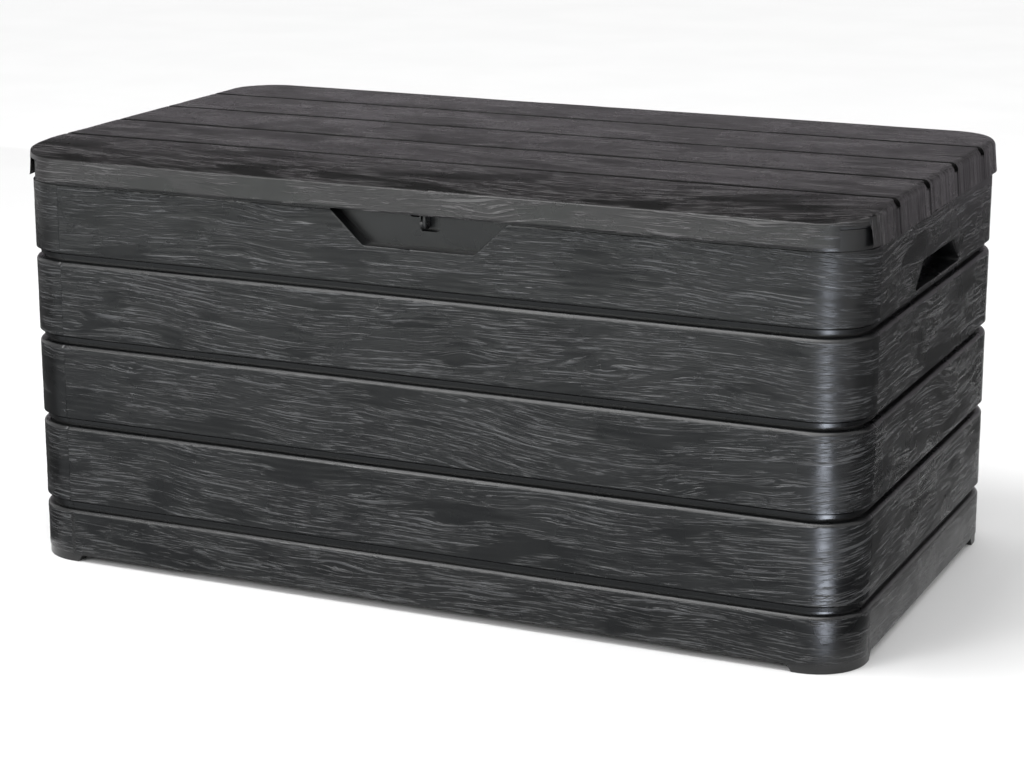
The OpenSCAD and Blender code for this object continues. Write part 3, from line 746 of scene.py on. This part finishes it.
def shape_lid(shell, top_inset):
    """Curves the lid's top down to a tight front edge, rounds the grooves' edges and
    sinks the grain: down into the top, inwards into the sides."""
    x, y, z = vertices(shell).T
    half_x = LID_HIGH.x - LID_R
    half_y = (LID_HIGH.y - LID_LOW.y) / 2 - LID_R
    centre_x, centre_y = np.clip(x, -half_x, half_x), np.clip(y, MID_Y - half_y, MID_Y + half_y)
    inward = np.stack([centre_x - x, centre_y - y], axis=1)
    inward /= np.maximum(np.linalg.norm(inward, axis=1), 1e-6)[:, None]
    target = crown(y)
    radius = LID_FRONT_R * np.clip((LID_HIGH.z - target) / 0.004, 0, 1)
    foot = target - radius
    turn = np.clip((z - foot) / LID_EDGE_BAND, 0, 1) * math.pi / 2
    wanted = rounding_inset(foot) + radius * (1 - np.cos(turn))
    push = np.where(z > foot, np.maximum(wanted - lid_inset(x, y), 0), 0)
    z = np.where(z > foot, foot + radius * np.sin(turn), z)
    x, y = x + inward[:, 0] * push, y + inward[:, 1] * push
    past = y[:, None] - np.array(LID_GROOVES)[None, :]
    past = past[np.arange(len(y)), np.argmin(np.abs(past), axis=1)]
    radius = np.where(past < 0, PLANK_REAR_R, PLANK_FRONT_R)
    c = np.clip(1 - (np.abs(past) - LID_GROOVE_W / 2) / radius, 0, 1)
    z = z - radius * (1 - np.sqrt(1 - c**2)) * np.clip((z - 0.566) / 0.006, 0, 1)
    points = np.stack([x, y, z], axis=1)

    along, flow, ring, seed = lid_grain(points)
    flutes = FLUTE_D * (0.5 + 0.5 * bumps(along / FLUTE_L, flow / FLUTE_W, FLUTE_SEED))
    onset = np.clip((np.abs(points[:, 0]) - (LID_HIGH.x - END_GRAIN)) / FLUTE_ONSET, 0, 1)
    depth = emboss(along, flow, ring, seed) + flutes * onset * (seed == END_SEED)
    slope = np.where(lid_inset(x, y) > top_inset - 1e-5, 1.0, np.clip((z - 0.566) / 0.014, 0, 1))
    above_foot = np.clip((z - LID_LOW.z) / 0.002, 0, 1)
    points[:, :2] += inward * (depth * (1 - slope) * above_foot)[:, None]
    points[:, 2] -= depth * slope
    shell.data.vertices.foreach_set("co", points.astype(np.float32).ravel())
    shell.data.update()


def lid_groove(y):
    """A groove's cutter, widened at both ends where the plank before it is rounded."""
    end = LID_HIGH.x + OVERLAP
    reach, bend = 0.026, 0.017
    d = np.concatenate([[0], steps(reach - bend, reach, 0.001), [0.030]])
    x = np.concatenate([-end + d, (end - d)[::-1]])
    d = np.concatenate([d, d[::-1]])
    t = np.clip((reach - d) / bend, 0, 1)
    flare = 0.012 * (1 - np.sqrt(1 - t**2))
    floor = LID_HIGH.z - LID_GROOVE_D - 0.003 * np.clip((reach - d) / 0.012, 0, 1)
    low, high = y - LID_GROOVE_W / 2, y + LID_GROOVE_W / 2
    layers = [
        [(xi, low - fi, zi), (xi, high, zi), (xi, high, 0.60), (xi, low - fi, 0.60)]
        for xi, fi, zi in zip(x, flare, floor, strict=True)
    ]
    return loft("groove", layers)


def lid_cavity():
    """The space under the lid, up to the liner."""
    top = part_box("lid_liner")[1].z + 0.0006
    layers = []
    for z in (LID_LOW.z - OVERLAP, top):
        inset = LID_T + rounding_inset(max(z, LID_LOW.z))
        x1, y0, y1 = LID_HIGH.x - inset, LID_LOW.y + inset, LID_HIGH.y - inset
        plan = rounded([(-x1, y0), (x1, y0), (x1, y1), (-x1, y1)], LID_R - inset, 16)
        layers.append([(px, py, z) for px, py in plan])
    return loft("cavity", layers)


def mark_lid(obj):
    co = vertices(obj)
    from_groove = np.min(np.abs(co[:, 1][:, None] - np.array(LID_GROOVES)[None, :]), axis=1)
    inside = lid_inset(co[:, 0], co[:, 1]) > LID_T * 0.9 + rounding_inset(co[:, 2])
    inside &= co[:, 2] < 0.5665
    turn = np.abs(np.abs(co[:, 0]) - (LID_HIGH.x - END_GRAIN))  # where the grain changes
    seam = np.where(co[:, 2] < LID_HIGH.z - 0.002, np.clip(0.5 + turn / 0.004, 0, 1), 1)
    relief = seam * ((from_groove > LID_GROOVE_W / 2 + 0.0004) & ~inside)
    write_attributes(obj, grain_vectors(*lid_grain(co)), relief)


# ---------------- materials ----------------
class Shader:
    """A material with a Principled shader, and short calls for its nodes."""

    def __init__(self, name, colour, roughness, **settings):
        self.material = bpy.data.materials.new(name)
        self.material.use_nodes = True
        self.tree = self.material.node_tree
        self.shader = self.tree.nodes["Principled BSDF"]
        self.shader.inputs["Base Color"].default_value = (*colour, 1)
        self.shader.inputs["Roughness"].default_value = roughness
        for key, value in settings.items():
            self.shader.inputs[key.replace("_", " ")].default_value = value

    def put(self, socket, value):
        if isinstance(value, bpy.types.NodeSocket):
            self.tree.links.new(value, socket)
        else:
            socket.default_value = value

    def node(self, kind, output=0, inputs=(), **settings):
        made = self.tree.nodes.new("ShaderNode" + kind)
        for key, value in settings.items():
            setattr(made, key, value)
        for key, value in dict(inputs).items():
            self.put(made.inputs[key], value)
        return made.outputs[output]

    def attribute(self, name, output="Vector"):
        return self.node("Attribute", output, attribute_name=name)

    def noise(self, vector, stretch, detail=2.0, roughness=0.5):
        """Noise from 0 to 1, with its size along each axis set by stretch, per metre."""
        scaled = self.node("VectorMath", 0, {0: vector, 1: stretch}, operation="MULTIPLY")
        inputs = {"Vector": scaled, "Scale": 1.0, "Detail": detail, "Roughness": roughness}
        return self.node("TexNoise", "Fac", inputs)

    def band(self, value, low, high, to_low=0.0, to_high=1.0):
        """value from low to high, carried smoothly to to_low and to_high."""
        inputs = {"Value": value, "From Min": low, "From Max": high, "To Min": to_low, "To Max": to_high}
        return self.node("MapRange", 0, inputs, interpolation_type="SMOOTHSTEP")

    def math(self, operation, a, b=0.0):
        return self.node("Math", 0, {0: a, 1: b}, operation=operation)

    def mix(self, factor, a, b):
        a, b = ((*c, 1) if isinstance(c, tuple) else c for c in (a, b))
        return self.node("Mix", 2, {0: factor, 6: a, 7: b}, data_type="RGBA")

    def bump(self, height, distance, strength=1.0, normal=None):
        inputs = {"Height": height, "Distance": distance, "Strength": strength}
        if normal is not None:
            inputs["Normal"] = normal
        return self.node("Bump", 0, inputs)

    def finish(self, colour=None, roughness=None, normal=None):
        for key, value in (("Base Color", colour), ("Roughness", roughness), ("Normal", normal)):
            if value is not None:
                self.put(self.shader.inputs[key], value)
        return self.material


def plank_plastic(name, dark, light, tint, painted_glint_strength, depth, hollow_gloss):
    """Resin moulded as wood: streaks that follow the growth rings, with a lighter colour painted on
    their ridges as painted glints, over a fine satin texture. hollow_gloss is the gloss where there is
    no grain."""
    m = Shader(name, dark, 0.42)
    grain, relief = m.attribute("grain"), m.attribute("relief", "Fac")
    position = m.node("TexCoord", "Object")
    patch = m.band(m.noise(grain, (8, 30, 9), 2.0), 0.36, 0.5)
    dash = m.band(m.noise(grain, (36, 620, 14), 2.0, 0.5), 0.56, 0.66)
    line = m.band(m.noise(grain, (10, 400, 12), 2.0, 0.5), 0.58, 0.66)
    arch = m.band(m.noise(grain, (3, 20, 110), 2.0, 0.5), 0.36, 0.47)
    fibre = m.noise(grain, (45, 700, 15), 3.0, 0.6)
    carved = m.math("MULTIPLY", m.math("MAXIMUM", dash, line), m.math("MULTIPLY", patch, arch))
    carved = m.math("MULTIPLY", carved, relief)
    fine = m.math("MULTIPLY", m.math("MULTIPLY", fibre, m.math("ADD", patch, 0.3)), relief)
    height = m.math("ADD", carved, m.math("MULTIPLY", fine, 0.3))
    skin = m.noise(position, (1500, 1500, 1500), 2.0, 0.6)
    soft = m.bump(skin, 0.00006)
    normal = m.bump(height, depth, 1.0, soft)
    tone = m.band(fine, 0.3, 0.75)
    ground = m.mix(tone, dark, tint)
    # painted glint: the grain's ridges are coloured lighter in place of the highlights they catch
    painted_glint = m.math("MULTIPLY", carved, painted_glint_strength)
    colour = m.mix(painted_glint, ground, light)
    scuffs = m.band(m.noise(position, (11, 11, 11), 3.0, 0.6), 0.35, 0.7, 0.25, 0.36)
    roughness = m.math("ADD", scuffs, m.math("MULTIPLY", carved, -0.05))
    m.put(m.shader.inputs["Specular IOR Level"], m.band(relief, 0, 1, hollow_gloss, 0.4))
    return m.finish(colour, roughness, normal)


def moulded(name, colour, spread, roughness, scale):
    """Plain moulded plastic with a fine leather-like grain and faint cloudy tone."""
    m = Shader(name, colour, roughness)
    position = m.node("TexCoord", "Object")
    cloud = m.band(m.noise(position, (14, 14, 14), 3.0), 0.35, 0.65)
    tint = tuple(c * spread for c in colour)
    skin = m.noise(position, (scale, scale, scale), 2.0, 0.6)
    rough = m.band(m.noise(position, (40, 40, 40), 3.0), 0.3, 0.7, roughness - 0.06, roughness + 0.08)
    return m.finish(m.mix(cloud, colour, tint), rough, m.bump(skin, 0.0001))


def metal(name, colour, roughness, stretch):
    """Bright metal with fine drawn lines."""
    m = Shader(name, colour, roughness, Metallic=1.0)
    position = m.node("TexCoord", "Object")
    lines = m.noise(position, stretch, 3.0, 0.6)
    rough = m.band(lines, 0.3, 0.7, roughness - 0.07, roughness + 0.1)
    tone = m.mix(m.band(lines, 0.3, 0.7), colour, tuple(c * 0.8 for c in colour))
    return m.finish(tone, rough, m.bump(lines, 0.00002))


# light in each plank material is the painted glint colour laid on the grain's ridges
WALL = plank_plastic(
    "wall_planks",
    dark=(0.0033, 0.0036, 0.0040),
    light=(0.085, 0.087, 0.091),
    tint=(0.0075, 0.0079, 0.0085),
    painted_glint_strength=0.7,
    depth=0.0008,
    hollow_gloss=0.5,
)
LID = plank_plastic(
    "lid_planks",
    dark=(0.0032, 0.0030, 0.0031),
    light=(0.08, 0.077, 0.079),
    tint=(0.013, 0.0117, 0.0125),
    painted_glint_strength=0.7,
    depth=0.0004,
    hollow_gloss=0.08,
)
BASE = plank_plastic(
    "base_planks",
    dark=(0.003, 0.0032, 0.0036),
    light=(0.08, 0.082, 0.086),
    tint=(0.007, 0.0073, 0.0078),
    painted_glint_strength=0.65,
    depth=0.0008,
    hollow_gloss=0.5,
)
LINER = moulded("liner_plastic", (0.010, 0.0102, 0.011), 1.4, 0.55, 900)
BLACK = moulded("black_plastic", (0.012, 0.012, 0.013), 1.7, 0.42, 1200)
ENAMEL = moulded("black_enamel", (0.010, 0.010, 0.011), 1.3, 0.28, 300)
STEEL = metal("zinc_steel", (0.52, 0.53, 0.55), 0.34, (900, 900, 40))
CHROME = metal("hard_chrome", (0.74, 0.75, 0.77), 0.14, (1500, 1500, 60))

# ---------------- pieces ----------------
walls = [front_wall(), end_wall(1), wall_panel(2), end_wall(3)]
for side, wall in enumerate(walls):
    mark_wall(wall, side)
    finish_piece(wall, "box", "wall_planks", WALL, SIDE_NODES[side])
tray = base()
mark_base(tray)
finish_piece(tray, "box", "base", BASE, "base_tray")
cover = lid()
mark_lid(cover)
finish_piece(cover, "lid", "lid_planks", LID, "lid_shell")

NODE_MATERIALS = {
    "liner": LINER,
    "black_fittings": BLACK,
    "steel": STEEL,
    "strut_tube": ENAMEL,
    "strut_rod": CHROME,
}
node_slots = {row["node"]: row["material_slot"] for row in frame["record"]["subparts"]}
for name, node in frame["nodes"].items():
    material = NODE_MATERIALS.get(node_slots[name])
    if material:
        node.data.materials.clear()
        node.data.materials.append(material)

# ---------------- floor, light and camera ----------------
floor_shader = Shader("floor", (0.93, 0.93, 0.93), 0.7)
floor_tone = floor_shader.noise(floor_shader.node("TexCoord", "Object"), (3, 3, 3), 3.0)
floor_material = floor_shader.finish(
    floor_shader.mix(floor_shader.band(floor_tone, 0.3, 0.7), (0.92, 0.92, 0.92), (0.94, 0.94, 0.94))
)
bpy.ops.mesh.primitive_plane_add(size=30)
ground = bpy.context.object
ground.name = "floor"
ground.data.materials.append(floor_material)


def softbox(name, location, target, size, power, colour=(1, 1, 1)):
    light = bpy.data.lights.new(name, "AREA")
    light.shape, light.size, light.size_y = "RECTANGLE", size[0], size[1]
    light.energy, light.color = power, colour
    obj = bpy.data.objects.new(name, light)
    obj.location = location
    obj.rotation_euler = (Vector(target) - Vector(location)).to_track_quat("-Z", "Y").to_euler()
    bpy.context.scene.collection.objects.link(obj)
    return obj


def card(name, corners, tone, glow=0.0):
    """A card that is only seen in reflections: a dim one keeps a glancing face dark, and
    one that glows draws a highlight."""
    made = new_object(name, corners, [(0, 1, 2, 3)])
    shader = Shader(name, tone, 1.0, Emission_Color=(*tone, 1), Emission_Strength=glow)
    made.data.materials.append(shader.material)
    made.visible_camera = made.visible_diffuse = made.visible_shadow = False
    made.visible_transmission = made.visible_volume_scatter = False


softbox("overhead", (-0.4, -0.9, 3.2), (0, 0, 0.3), (1.5, 1.0), 52)
softbox("front", (-1.9, -3.6, 2.0), (0, 0, 0.25), (1.1, 0.8), 42)
card(
    "front_card",
    [(-2.6, -3.2, 0.003), (1.6, -3.2, 0.003), (1.6, -0.36, 0.003), (-2.6, -0.36, 0.003)],
    (0.36, 0.375, 0.39),
)
card(
    "left_card",
    [(-0.62, -0.36, 0.004), (-0.62, 2.5, 0.004), (-3.6, 2.5, 0.004), (-3.2, -1.9, 0.004)],
    (0.05, 0.05, 0.05),
)
card(
    "side_card",
    [(0.66, -0.5, 0.004), (3.2, -0.5, 0.004), (3.2, 3.5, 0.004), (0.66, 3.5, 0.004)],
    (0.03, 0.03, 0.03),
)
card(
    "back_low",
    [(-4.0, 1.3, 0.3), (3.2, 1.3, 0.3), (3.2, 1.3, 0.96), (-4.0, 1.3, 0.96)],
    (0.24, 0.222, 0.24),
)
card(
    "back_high",
    [(-4.0, 1.3, 0.96), (3.2, 1.3, 0.96), (3.2, 1.3, 3.6), (-4.0, 1.3, 3.6)],
    (0.03, 0.03, 0.03),
)
card(
    "top_card",
    [(-2.0, -3.2, 2.3), (2.0, -3.2, 2.3), (2.0, -0.9, 3.0), (-2.0, -0.9, 3.0)],
    (1.0, 1.0, 1.0),
    3.5,
)
card(
    "horizon_card",
    [(-7.0, -5.6, 0.01), (3.5, -5.6, 0.01), (3.5, -5.6, 1.0), (-7.0, -5.6, 1.0)],
    (0.95, 1.0, 0.97),
    2.6,
)
card(
    "corner_card",
    [(0.62, -0.42, 0.005), (0.72, -0.42, 0.005), (1.65, -2.4, 0.005), (1.2, -2.5, 0.005)],
    (0.82, 0.88, 1.0),
    16.0,
)

world = bpy.context.scene.world or bpy.data.worlds.new("world")
bpy.context.scene.world = world
world.use_nodes = True
world.node_tree.nodes["Background"].inputs["Color"].default_value = (1, 1, 1, 1)
world.node_tree.nodes["Background"].inputs["Strength"].default_value = 1.0
bpy.context.scene.view_settings.view_transform = "Standard"

camera_data = bpy.data.cameras.new("camera")
camera_data.lens = 92.5
camera_data.sensor_width = 36
camera = bpy.data.objects.new("camera", camera_data)
camera.location = (1.4623, -3.2767, 1.1815)
camera.rotation_euler = (math.radians(90 - 14.823), 0, math.radians(24.179))
bpy.context.scene.collection.objects.link(camera)
bpy.context.scene.camera = camera
